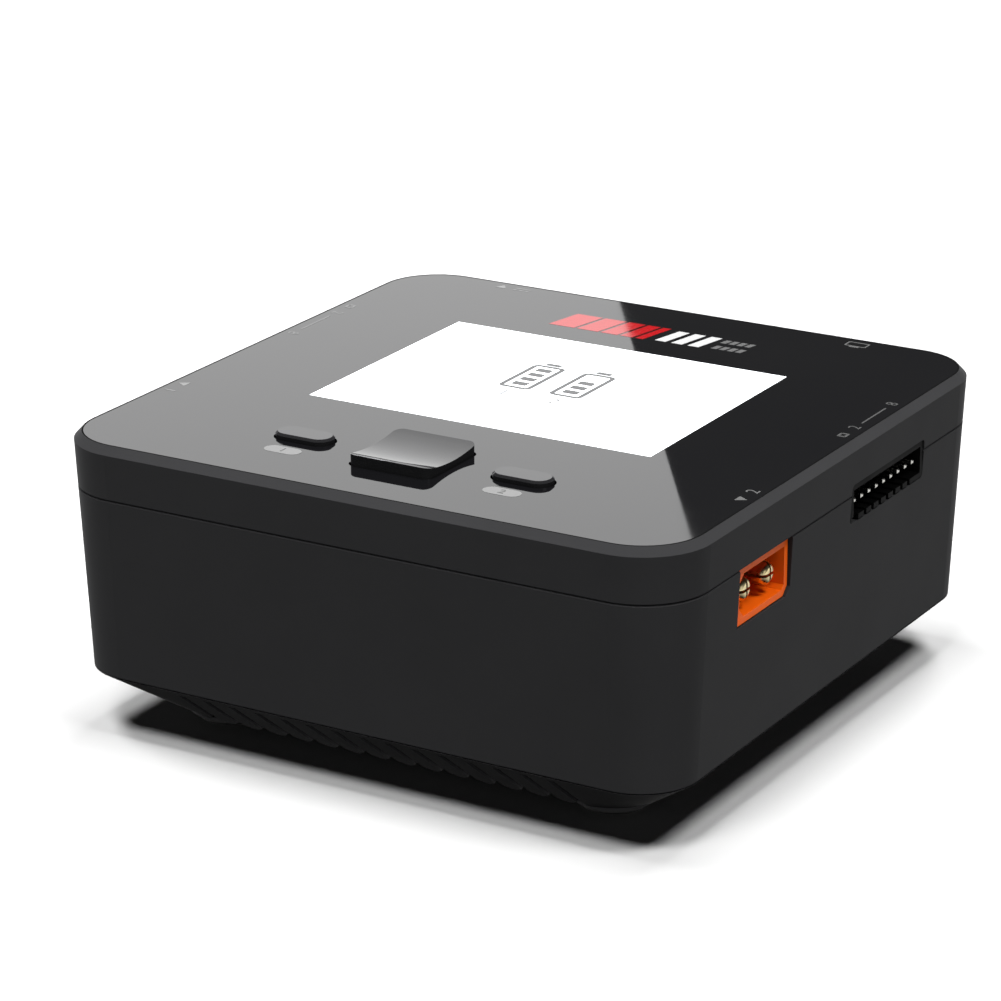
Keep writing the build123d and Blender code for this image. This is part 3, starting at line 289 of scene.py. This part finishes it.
def finish_node(name, material):
    """Puts a material on a CAD node in place of its own."""
    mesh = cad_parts[name].data
    mesh.materials.clear()
    mesh.materials.append(material)


for material, names in FINISHES.items():
    for name in names:
        finish_node(name, material)


# ---------------------------------------------------------------- printed marks

# Every mark is a skin just above the glass. What lies on another mark is one layer higher.
INK_THICKNESS, INK_LIFT = 0.010 * MM, 0.010 * MM
PRINT_LEVEL = GLASS_TOP + INK_LIFT
PICTURE_LEVEL = PRINT_LEVEL + INK_THICKNESS + INK_LIFT

CORNER_STEPS, LARGEST_CORNER = 12, 0.499        # the corner as a share of the shorter side
ARROW_SOFTENING, ARROW_CORNER_STEPS = 0.06, 3   # the softening as a share of the arrow's size
FIGURE_SHARE, FIGURE_STEPS = 0.7, 3             # a figure's height as a share of its type size


def deselect():
    """Clears the selection, so that an operator acts only on what is made next."""
    bpy.ops.object.select_all(action="DESELECT")


def edit_all():
    """Opens the active mesh for editing with all of it selected."""
    bpy.ops.object.mode_set(mode="EDIT")
    bpy.ops.mesh.select_all(action="SELECT")


def place_shape(shape, x, y, turn=0.0):
    """Moves a flat shape to its place, turned about +Z in degrees, and bakes that into its mesh."""
    turned = Matrix.Rotation(math.radians(turn), 4, "Z")
    shape.data.transform(Matrix.Translation((x, y, 0)) @ turned)
    shape.matrix_world = Matrix.Identity(4)
    return shape


def bar(width, depth, radius=0.0):
    """A flat bar in the middle of the page, in metres, with round corners."""
    deselect()
    bpy.ops.mesh.primitive_plane_add(size=1.0)
    shape = bpy.context.object
    shape.data.transform(Matrix.Diagonal((width, depth, 1.0, 1.0)))
    if radius:
        edit_all()
        bpy.ops.mesh.bevel(
            offset=min(radius, min(width, depth) * LARGEST_CORNER),
            segments=CORNER_STEPS, affect="VERTICES")
        bpy.ops.object.mode_set(mode="OBJECT")
    return shape


def outline(width, depth, radius, line):
    """A round-cornered ring, line wide."""
    shape = bar(width, depth, radius)
    edit_all()
    bpy.ops.mesh.inset(thickness=line)
    bpy.ops.mesh.delete(type="FACE")
    bpy.ops.object.mode_set(mode="OBJECT")
    return shape


def slanted(width, depth):
    """A bar that leans to the right by a fifth of its depth."""
    shape = bar(width, depth)
    lean = Matrix.Identity(4)
    lean[0][1] = 0.2
    shape.data.transform(lean)
    return shape


def arrowhead(size):
    """A flat triangle that points along +X, with softened corners."""
    deselect()
    bpy.ops.mesh.primitive_circle_add(vertices=3, radius=size / 2, fill_type="NGON")
    shape = bpy.context.object
    shape.data.transform(Matrix.Rotation(math.radians(-90), 4, "Z"))
    edit_all()
    bpy.ops.mesh.bevel(
        offset=size * ARROW_SOFTENING, segments=ARROW_CORNER_STEPS, affect="VERTICES")
    bpy.ops.object.mode_set(mode="OBJECT")
    return shape


def figure(digits, height):
    """A number as flat strokes, centred."""
    deselect()
    bpy.ops.object.text_add()
    text = bpy.context.object
    text.data.body = digits
    text.data.align_x = "CENTER"
    text.data.align_y = "CENTER"
    text.data.size = height / FIGURE_SHARE
    text.data.resolution_u = FIGURE_STEPS
    bpy.ops.object.convert(target="MESH")
    return bpy.context.object


def print_piece(name, parts, material, level=PRINT_LEVEL):
    """Joins flat shapes into one printed piece on the glass and gives it a skin's thickness."""
    deselect()
    for part in parts:
        part.select_set(True)
    bpy.context.view_layer.objects.active = parts[0]
    if len(parts) > 1:
        bpy.ops.object.join()
    piece = bpy.context.object
    piece.name = name
    piece.data.transform(Matrix.Translation((0, 0, level)))
    skin = piece.modifiers.new("skin", "SOLIDIFY")
    skin.thickness = INK_THICKNESS
    skin.offset = 1.0
    bpy.ops.object.modifier_apply(modifier=skin.name)
    edit_all()
    bpy.ops.mesh.normals_make_consistent(inside=False)
    bpy.ops.object.mode_set(mode="OBJECT")
    piece.data.materials.clear()
    piece.data.materials.append(material)
    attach(piece, "case")


# A black ring over the gap round the glass, drawn as a line of black foam tape, is painted shade:
# it stands for the dark gap there.
GLASS_CORNER, GAP_SHADE_WIDTH = 9.35 * MM, 0.24 * MM
gap_shade_ring = outline(
    GLASS_HIGH.x - GLASS_LOW.x + GAP_SHADE_WIDTH, GLASS_HIGH.y - GLASS_LOW.y + GAP_SHADE_WIDTH,
    GLASS_CORNER + GAP_SHADE_WIDTH / 2, GAP_SHADE_WIDTH)
print_piece("glass_gap_shade", [place_shape(gap_shade_ring, 0, (GLASS_LOW.y + GLASS_HIGH.y) / 2)], gap_shade_black)

# The lit area of the display, 58.3 x 43.5 mm as on a 2.8 inch cell.
SCREEN_SIZE, SCREEN_CORNER = (58.3 * MM, 43.5 * MM), 0.15 * MM
SCREEN_Y = (LCD_LOW.y + LCD_HIGH.y) / 2
print_piece("display_image", [place_shape(bar(*SCREEN_SIZE, SCREEN_CORNER), 0, SCREEN_Y)], screen)

# The charge picture on it: a battery for each channel, its bars, and its number in front of it.
PICTURE_Y = SCREEN_Y + 2.4 * MM
BATTERY_WIDTH, BATTERY_DEPTH, BATTERY_LINE, BATTERY_CORNER = 5.6 * MM, 12.0 * MM, 0.8 * MM, 1.1 * MM
BATTERY_X = 4.4 * MM
CAP_SIZE, CAP_CORNER, CAP_OVER = (2.6 * MM, 1.1 * MM), 0.3 * MM, 0.75 * MM
CHARGE_SIZE, CHARGE_CORNER, CHARGE_PITCH = (2.6 * MM, 1.6 * MM), 0.2 * MM, 2.4 * MM
CHARGE_START = -1.5 * CHARGE_PITCH
CHARGE_BARS = {"1": 4, "2": 3}
PICTURE_FIGURE, PICTURE_FIGURE_GAP = 2.4 * MM, 2.8 * MM
figures = []
for channel, side in CHANNELS:
    x = side * BATTERY_X
    shell = outline(BATTERY_WIDTH, BATTERY_DEPTH, BATTERY_CORNER, BATTERY_LINE)
    cap = bar(*CAP_SIZE, CAP_CORNER)
    picture = [
        place_shape(shell, x, PICTURE_Y),
        place_shape(cap, x, PICTURE_Y + BATTERY_DEPTH / 2 + CAP_OVER),
    ]
    for step in range(CHARGE_BARS[channel]):
        y = PICTURE_Y + CHARGE_START + step * CHARGE_PITCH
        picture.append(place_shape(bar(*CHARGE_SIZE, CHARGE_CORNER), x, y))
    print_piece(f"display_battery_{channel}", picture, screen_ink, PICTURE_LEVEL)
    y = PICTURE_Y - BATTERY_DEPTH / 2 - PICTURE_FIGURE_GAP
    figures.append(place_shape(figure(channel, PICTURE_FIGURE), x, y))
print_piece("display_numbers", figures, screen_faint, PICTURE_LEVEL)

# Pills under the side keys, with the channel's number dark on them.
PILL_WIDTH, PILL_DEPTH, PILL_DROP, PILL_FIGURE = 6.0 * MM, 2.7 * MM, 5.95 * MM, 1.5 * MM
pill_y = KEY_ROW_Y - PILL_DROP
for channel, side in CHANNELS:
    x = side * SIDE_KEY_X
    pill = place_shape(bar(PILL_WIDTH, PILL_DEPTH, PILL_DEPTH / 2), x, pill_y)
    print_piece(f"print_key_{channel}", [pill], pale_ink)
    digit = place_shape(figure(channel, PILL_FIGURE), x, pill_y)
    print_piece(f"print_key_{channel}_number", [digit], deep_ink, PICTURE_LEVEL)

# Beside each power socket: an arrowhead towards it and the channel's number. The marks on the
# sides are turned a quarter, so that they read from the side they are on.
EDGE_X = 48.8 * MM
ARROW_SIZE, ARROW_INSET, ARROW_BEFORE = 2.2 * MM, 0.2 * MM, 2.4 * MM
POWER_FIGURE, POWER_FIGURE_AFTER = 2.0 * MM, 1.2 * MM
POWER_Y = (POWER_LOW.y + POWER_HIGH.y) / 2
for channel, side in CHANNELS:
    arrow = place_shape(arrowhead(ARROW_SIZE), 0, 0, 0 if side > 0 else 180)
    place_shape(arrow, side * (EDGE_X - ARROW_INSET), POWER_Y - side * ARROW_BEFORE)
    digit = figure(channel, POWER_FIGURE)
    place_shape(digit, side * EDGE_X, POWER_Y + side * POWER_FIGURE_AFTER, 90 * side)
    print_piece(f"print_power_{channel}", [arrow, digit], pale_ink)

# Beside each balance socket, in reading order: a small cell, the lowest number of cells,
# a line and the highest number of cells. Each has its place along the side.
SIGN_LINE = 0.28 * MM
BALANCE_SHIFT, RANGE_FIGURE, RANGE_LINE = 0.2 * MM, 1.9 * MM, 8.2 * MM
CELL_WIDTH, CELL_DEPTH, CELL_CORNER, CELL_LINE = 1.7 * MM, 1.5 * MM, 0.3 * MM, 0.4 * MM
CELL_AT, LOWEST_AT, LINE_AT, HIGHEST_AT = -9.6 * MM, -5.6 * MM, 0.7 * MM, 7.2 * MM
BALANCE_Y = (BALANCE_LOW.y + BALANCE_HIGH.y) / 2
for channel, side in CHANNELS:
    signs = (
        (outline(CELL_WIDTH, CELL_DEPTH, CELL_CORNER, CELL_LINE), CELL_AT),
        (figure("2", RANGE_FIGURE), LOWEST_AT),
        (bar(RANGE_LINE, SIGN_LINE), LINE_AT),
        (figure("8", RANGE_FIGURE), HIGHEST_AT),
    )
    middle = BALANCE_Y - side * BALANCE_SHIFT
    parts = [
        place_shape(sign, side * EDGE_X, middle + side * along, 90 * side) for sign, along in signs]
    print_piece(f"print_balance_{channel}", parts, dim_ink)

# At the back edge, by the supply input: an arrowhead and the sign of a steady current.
BACK_MARK_Y = 48.0 * MM
SUPPLY_ARROW_X, SIGN_X, SIGN_WIDTH, SIGN_HALF_GAP = -2.2 * MM, 1.6 * MM, 3.0 * MM, 0.45 * MM
DASH_WIDTH, DASH_START, DASH_PITCH = 0.75 * MM, 0.5 * MM, 1.1 * MM
input_x = (INPUT_LOW.x + INPUT_HIGH.x) / 2
arrow = place_shape(arrowhead(ARROW_SIZE), 0, 0, 90)
long_line = bar(SIGN_WIDTH, SIGN_LINE)
parts = [
    place_shape(arrow, input_x + SUPPLY_ARROW_X, BACK_MARK_Y),
    place_shape(long_line, input_x + SIGN_X, BACK_MARK_Y + SIGN_HALF_GAP),
]
for step in range(3):
    x = input_x + DASH_START + step * DASH_PITCH
    parts.append(place_shape(bar(DASH_WIDTH, SIGN_LINE), x, BACK_MARK_Y - SIGN_HALF_GAP))
print_piece("print_supply", parts, pale_ink)

# By the data port: a plain frame with a foot, as its shell looks from outside.
PORT_FRAME, PORT_FRAME_CORNER, PORT_FRAME_DROP = (3.7 * MM, 2.1 * MM), 0.3 * MM, 0.2 * MM
PORT_FOOT, PORT_FOOT_DROP = (1.6 * MM, 0.45 * MM), 1.5 * MM
port_x = (PORT_LOW.x + PORT_HIGH.x) / 2
parts = [
    place_shape(
        outline(*PORT_FRAME, PORT_FRAME_CORNER, SIGN_LINE), port_x, BACK_MARK_Y - PORT_FRAME_DROP),
    place_shape(bar(*PORT_FOOT), port_x, BACK_MARK_Y - PORT_FOOT_DROP),
]
print_piece("print_data_port", parts, pale_ink)

# A plain decoration behind the display: slanted red bars that get narrower to the right,
# three pale blocks and two rows of short dashes. The numbers are millimetres across the glass.
BADGE_Y, BADGE_DEPTH = 37.3 * MM, 7.0 * MM
RED_CENTRES, RED_WIDEST, RED_NARROWING = (-13.2, -8.5, -4.6, -1.5, 0.8), 4.6, 0.8
PALE_CENTRES, PALE_SIZE = (4.2, 7.1, 10.0), (1.9 * MM, BADGE_DEPTH * 0.85)
DASH_CENTRES, DASH_ROWS, DASH_SIZE = (12.9, 14.3, 15.7, 17.1), (-1.6, 1.6), (1.0 * MM, 1.7 * MM)
red_bars = [
    place_shape(slanted((RED_WIDEST - RED_NARROWING * step) * MM, BADGE_DEPTH), x * MM, BADGE_Y)
    for step, x in enumerate(RED_CENTRES)]
print_piece("print_badge_red", red_bars, red_ink)
pale_blocks = [place_shape(slanted(*PALE_SIZE), x * MM, BADGE_Y) for x in PALE_CENTRES]
print_piece("print_badge_pale", pale_blocks, bright_ink)
dashes = [
    place_shape(slanted(*DASH_SIZE), x * MM, BADGE_Y + row * MM)
    for row in DASH_ROWS for x in DASH_CENTRES]
print_piece("print_badge_dashes", dashes, pale_ink)


# ---------------------------------------------------------------- stage

FLOOR_SIZE = 12.0

# Heights are the upward part of a direction. The floor's glow grows up to the horizon, and the
# room's faint light fades out higher up.
FLOOR_GLOW, GLOW_FROM = 1.5, -0.75
ROOM_LEVEL, ROOM_FADES_FROM, ROOM_DARK_FROM = 0.055, 0.45, 0.6

# A ring of four broad lights high over the table, which reach a little way under the case.
RING = (("back", 0.0), ("right", 90.0), ("front", 180.0), ("left", 270.0))
RING_ELEVATION, RING_STRENGTH, RING_WIDTH = 66.0, 2.65, 17.0


def floor():
    """A wide pale studio floor."""
    deselect()
    bpy.ops.mesh.primitive_plane_add(size=FLOOR_SIZE)
    ground = bpy.context.object
    ground.name = "studio_floor"
    material, tree, shader, place = surface(
        "pale_studio_floor", IOR=1.45, Specular_IOR_Level=0.0)
    shade(tree, shader, place, "b2b2b2", "b6b6b6", patch_mm=400.0, rough=(0.9, 1.0),
          grain_mm=3.0, grain_height_mm=0.001)
    ground.data.materials.append(material)
    ground.visible_glossy = False
    ground.visible_diffuse = False
    return ground


def lamp_of(name, light):
    """An object for a light, in the scene."""
    lamp = bpy.data.objects.new(name, light)
    bpy.context.scene.collection.objects.link(lamp)
    return lamp


def softbox(name, centre, toward, up, size, radiance, spared):
    """A rectangular light that faces a point and spares some objects; up is along its height."""
    facing = (Vector(toward) - Vector(centre)).normalized()
    upward = (Vector(up) - facing * facing.dot(Vector(up))).normalized()
    across = upward.cross(-facing)
    light = bpy.data.lights.new(name, "AREA")
    light.shape = "RECTANGLE"
    light.size, light.size_y = size
    light.energy = radiance * math.pi * size[0] * size[1]
    lamp = lamp_of(name, light)
    lamp.matrix_world = Matrix((
        (across.x, upward.x, -facing.x, centre[0]),
        (across.y, upward.y, -facing.y, centre[1]),
        (across.z, upward.z, -facing.z, centre[2]),
        (0, 0, 0, 1),
    ))
    lamp.visible_camera = False
    unlit = bpy.data.collections.new(f"{name}_spares")
    for thing in spared:
        unlit.objects.link(thing)
    lamp.light_linking.receiver_collection = unlit
    for entry in unlit.collection_objects:
        entry.light_linking.link_state = "EXCLUDE"


def sun(name, azimuth):
    """A broad even light of the ring; azimuth is counted from +Y towards +X."""
    light = bpy.data.lights.new(name, "SUN")
    light.energy = RING_STRENGTH
    light.angle = math.radians(RING_WIDTH)
    lamp = lamp_of(name, light)
    a, e = math.radians(azimuth), math.radians(RING_ELEVATION)
    back = Vector((math.sin(a) * math.cos(e), math.cos(a) * math.cos(e), math.sin(e)))
    lamp.rotation_mode = "QUATERNION"
    lamp.rotation_quaternion = back.to_track_quat("Z", "Y")
    lamp.visible_glossy = False


def sky():
    """The room: faint above the horizon, and below it the glow of the floor, fading downwards."""
    world = bpy.data.worlds.new("studio_room")
    bpy.context.scene.world = world
    world.use_nodes = True
    tree = world.node_tree
    tree.nodes.clear()
    place = add(tree, "ShaderNodeTexCoord").outputs["Generated"]
    height = add(tree, "ShaderNodeSeparateXYZ", {"Vector": place}).outputs["Z"]
    glow = add(tree, "ShaderNodeMapRange", {
        "Value": height, "From Min": GLOW_FROM, "From Max": 0.0,
        "To Min": 0.0, "To Max": FLOOR_GLOW})
    room = add(tree, "ShaderNodeMapRange", {
        "Value": height, "From Min": ROOM_FADES_FROM, "From Max": ROOM_DARK_FROM,
        "To Min": ROOM_LEVEL, "To Max": 0.0})
    over = add(tree, "ShaderNodeMath", {0: height, 1: 0.0}, operation="GREATER_THAN")
    level = add(tree, "ShaderNodeMix", {
        "Factor": over.outputs["Value"],
        "A": glow.outputs["Result"], "B": room.outputs["Result"]})
    background = add(tree, "ShaderNodeBackground", {
        "Color": (1, 1, 1, 1), "Strength": level.outputs["Result"]})
    add(tree, "ShaderNodeOutputWorld", {"Surface": background.outputs[0]})


ground = floor()
sky()
for side, azimuth in RING:
    sun(f"ring_{side}", azimuth)

# The tall softbox behind and to the left. Its right edge leans and draws the line across the
# glass, so the box is placed by a point on that edge.
BOX_AWAY, BOX_SIDE = Vector((-0.509, 0.861, 0.0)), Vector((0.861, 0.509, 0.0))
BOX_EDGE_SIDE, BOX_EDGE_HEIGHT, BOX_EDGE_TO_CENTRE = 0.0480, 0.2360, 0.13
BOX_SIZE, BOX_DISTANCE, BOX_RADIANCE = (0.60, 0.70), 0.70, 1.45
lean = math.radians(16.6)
box_up = BOX_SIDE * math.sin(lean) + Vector((0, 0, math.cos(lean)))
box_left = -(BOX_SIDE * math.cos(lean) - Vector((0, 0, math.sin(lean))))
edge_point = BOX_AWAY * BOX_DISTANCE + BOX_SIDE * BOX_EDGE_SIDE
edge_point.z = BOX_EDGE_HEIGHT + GLASS_TOP
box_centre = edge_point + box_left * (BOX_SIZE[0] / 2) + box_up * BOX_EDGE_TO_CENTRE
softbox(
    "softbox_back_left", box_centre, box_centre - BOX_AWAY, box_up, BOX_SIZE, BOX_RADIANCE,
    spared=[ground])

# A low, narrow softbox off to the right lights the insides of the sockets.
LOW_BOX_CENTRE, LOW_BOX_TOWARD = (0.50, -0.16, 0.16), (0.05, -0.02, 0.03)
LOW_BOX_SIZE, LOW_BOX_RADIANCE = (0.30, 0.12), 0.9
walls = [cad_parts[name] for name in ("top_cover", "lower_case", "glass_panel")]
softbox(
    "softbox_right", LOW_BOX_CENTRE, LOW_BOX_TOWARD, (0, 0, 1), LOW_BOX_SIZE, LOW_BOX_RADIANCE,
    spared=[ground, *walls])


# ---------------------------------------------------------------- camera

SENSOR_MM, LENS_MM = 36.0, 141.42
NEAR_LIMIT, FAR_LIMIT = 0.02, 20.0
CAMERA_AZIMUTH, CAMERA_ELEVATION, CAMERA_ROLL = 30.607, 19.460, -0.272
CAMERA_DISTANCE = 0.601467
CAMERA_TARGET = (-0.006625, 0.002284, 0.027813)


def camera():
    """A long lens from the front right, looking slightly down."""
    data = bpy.data.cameras.new("studio_camera")
    data.sensor_width = SENSOR_MM
    data.lens = LENS_MM
    data.clip_start, data.clip_end = NEAR_LIMIT, FAR_LIMIT
    eye = bpy.data.objects.new("studio_camera", data)
    bpy.context.scene.collection.objects.link(eye)
    a, e = math.radians(CAMERA_AZIMUTH), math.radians(CAMERA_ELEVATION)
    back = Vector((math.sin(a) * math.cos(e), -math.cos(a) * math.cos(e), math.sin(e)))
    eye.rotation_mode = "QUATERNION"
    level = (-back).to_track_quat("-Z", "Y")
    roll = Matrix.Rotation(math.radians(CAMERA_ROLL), 3, "Z").to_quaternion()
    eye.rotation_quaternion = level @ roll
    eye.location = Vector(CAMERA_TARGET) + back * CAMERA_DISTANCE
    bpy.context.scene.camera = eye


camera()
bpy.context.scene.view_settings.view_transform = "Standard"
